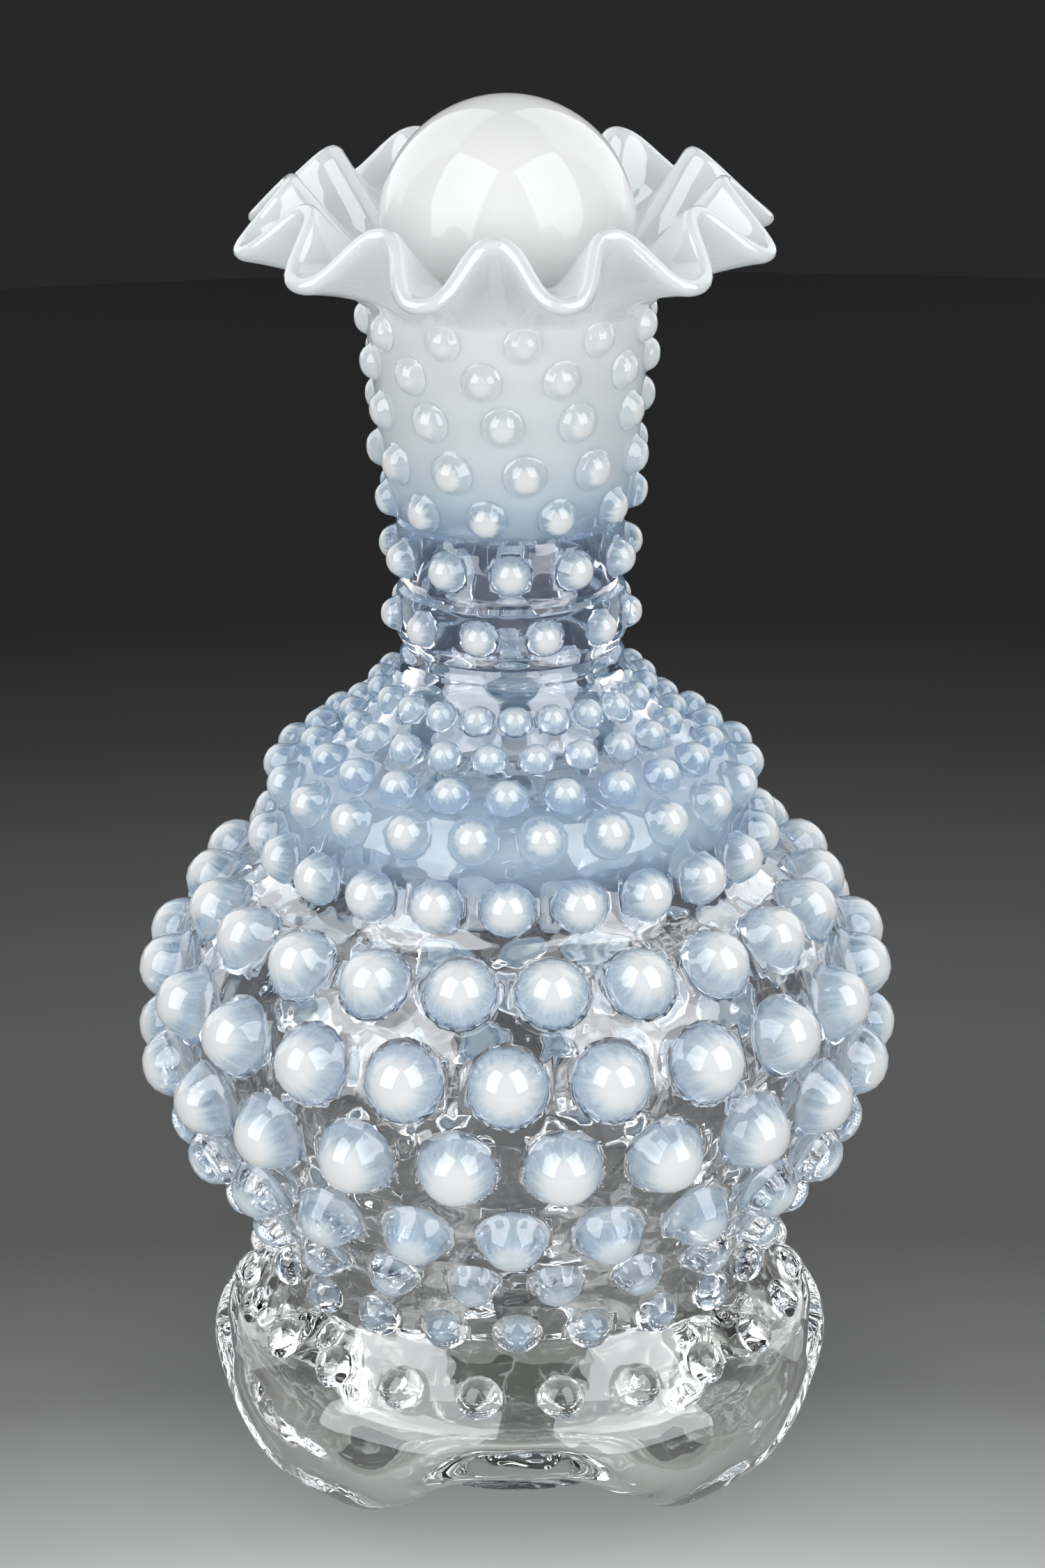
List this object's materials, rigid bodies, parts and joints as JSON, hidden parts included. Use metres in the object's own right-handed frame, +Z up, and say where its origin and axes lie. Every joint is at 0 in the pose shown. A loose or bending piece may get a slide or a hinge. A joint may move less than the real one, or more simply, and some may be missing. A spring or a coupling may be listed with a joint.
{
  "type": "oil cruet",
  "caption": "Hobnail glass bottle with a round body, narrow neck and crimped rim, and a loose ball stopper that lifts out of its throat.",
  "frame": {"origin": "centre of the foot, on the surface that the bottle stands on", "axes": "+Z up along the bottle's axis, -Y towards the front of the picture"},
  "size_m": [0.1046, 0.1034, 0.1866],
  "materials": {
    "opalescent_glass": "clear blown glass with milky blue-white hobs, neck and rim, smooth and glossy",
    "milk_glass": "opaque white milk glass, smooth and glossy"
  },
  "bodies": {
    "bottle": {"bottle": "opalescent_glass"},
    "stopper": {"stopper": "milk_glass"}
  },
  "joints": [
    {"name": "stopper_lift", "type": "slide", "parent": "bottle", "child": "stopper", "axis": [0, 0, 1], "range_m": [0, 0.06]}
  ]
}
